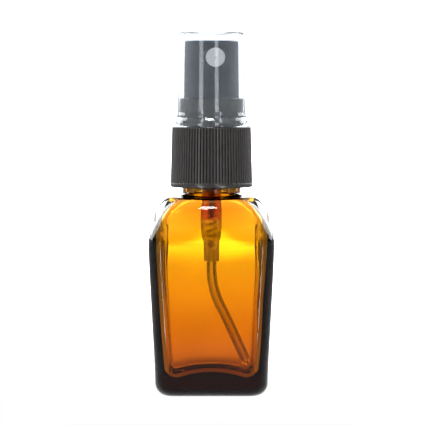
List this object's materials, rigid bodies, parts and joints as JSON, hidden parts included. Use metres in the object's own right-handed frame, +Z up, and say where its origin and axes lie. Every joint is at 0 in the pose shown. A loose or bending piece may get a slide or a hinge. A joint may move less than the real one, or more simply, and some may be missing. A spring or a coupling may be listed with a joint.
{
  "type": "fine-mist spray bottle",
  "caption": "Small square amber glass bottle with curved shoulders, ribbed screw closure, finger-pump mist sprayer with dip tube, and clear overcap.",
  "frame": {"origin": "centre of the bottle's base, on the plane it stands on", "axes": "+Z up along the neck and pump; the bottle's flat front, which the nozzle faces, is towards -Y; +X is to the right seen from the front"},
  "size_m": [0.034, 0.034, 0.0983],
  "materials": {
    "amber_glass": "gloss",
    "black_closure": "satin",
    "clear_overcap": "gloss",
    "gasket_foam": "matte",
    "natural_housing": "satin",
    "guide_plastic": "satin",
    "seal_rubber": "matte",
    "clear_tube": "satin",
    "ball_steel": "polished",
    "stem_plastic": "satin",
    "rod_plastic": "satin",
    "piston_plastic": "satin",
    "spring_steel": "bright",
    "black_actuator": "satin",
    "grey_nozzle": "satin"
  },
  "bodies": {
    "bottle": {"bottle": "amber_glass"},
    "pump": {"pump_housing": "natural_housing", "neck_gasket": "gasket_foam", "stem_guide": "guide_plastic", "stem_seal": "seal_rubber", "dip_tube": "clear_tube", "return_spring": "spring_steel"},
    "closure": {"closure": "black_closure"},
    "overcap": {"overcap": "clear_overcap"},
    "plunger": {"stem": "stem_plastic", "piston_rod": "rod_plastic", "precompression_spring": "spring_steel"},
    "piston": {"piston": "piston_plastic"},
    "inlet_ball": {"inlet_ball": "ball_steel"},
    "actuator": {"actuator": "black_actuator", "nozzle_insert": "grey_nozzle"}
  },
  "joints": [
    {"name": "pump_rise", "type": "slide", "parent": "bottle", "child": "pump", "axis": [0, 0, 1], "range_m": [0, 0.00476]},
    {"name": "closure_turn", "type": "hinge", "parent": "pump", "child": "closure", "pos_m": [0, 0, 0.0636], "axis": [0, 0, 1], "range_deg": [0, 540]},
    {"name": "overcap_lift", "type": "slide", "parent": "closure", "child": "overcap", "axis": [0, 0, 1], "range_m": [0, 0.03]},
    {"name": "pump_stroke", "type": "slide", "parent": "pump", "child": "plunger", "axis": [0, 0, -1], "range_m": [0, 0.0044], "stiffness_N_per_m": 1500, "springref_m": -0.004, "deforming": ["return_spring"]},
    {"name": "piston_slip", "type": "slide", "parent": "plunger", "child": "piston", "axis": [0, 0, 1], "range_m": [0, 0.0006], "stiffness_N_per_m": 1500, "springref_m": -0.001, "deforming": ["precompression_spring"]},
    {"name": "inlet_ball_lift", "type": "slide", "parent": "pump", "child": "inlet_ball", "axis": [0, 0, 1], "range_m": [0, 0.0005]},
    {"name": "actuator_swivel", "type": "hinge", "parent": "plunger", "child": "actuator", "pos_m": [0, 0, 0.0877], "axis": [0, 0, 1], "continuous": true}
  ],
  "couplings": [
    {"joint": "closure_turn", "follows": "pump_rise", "rad_per_m": 1979}
  ]
}
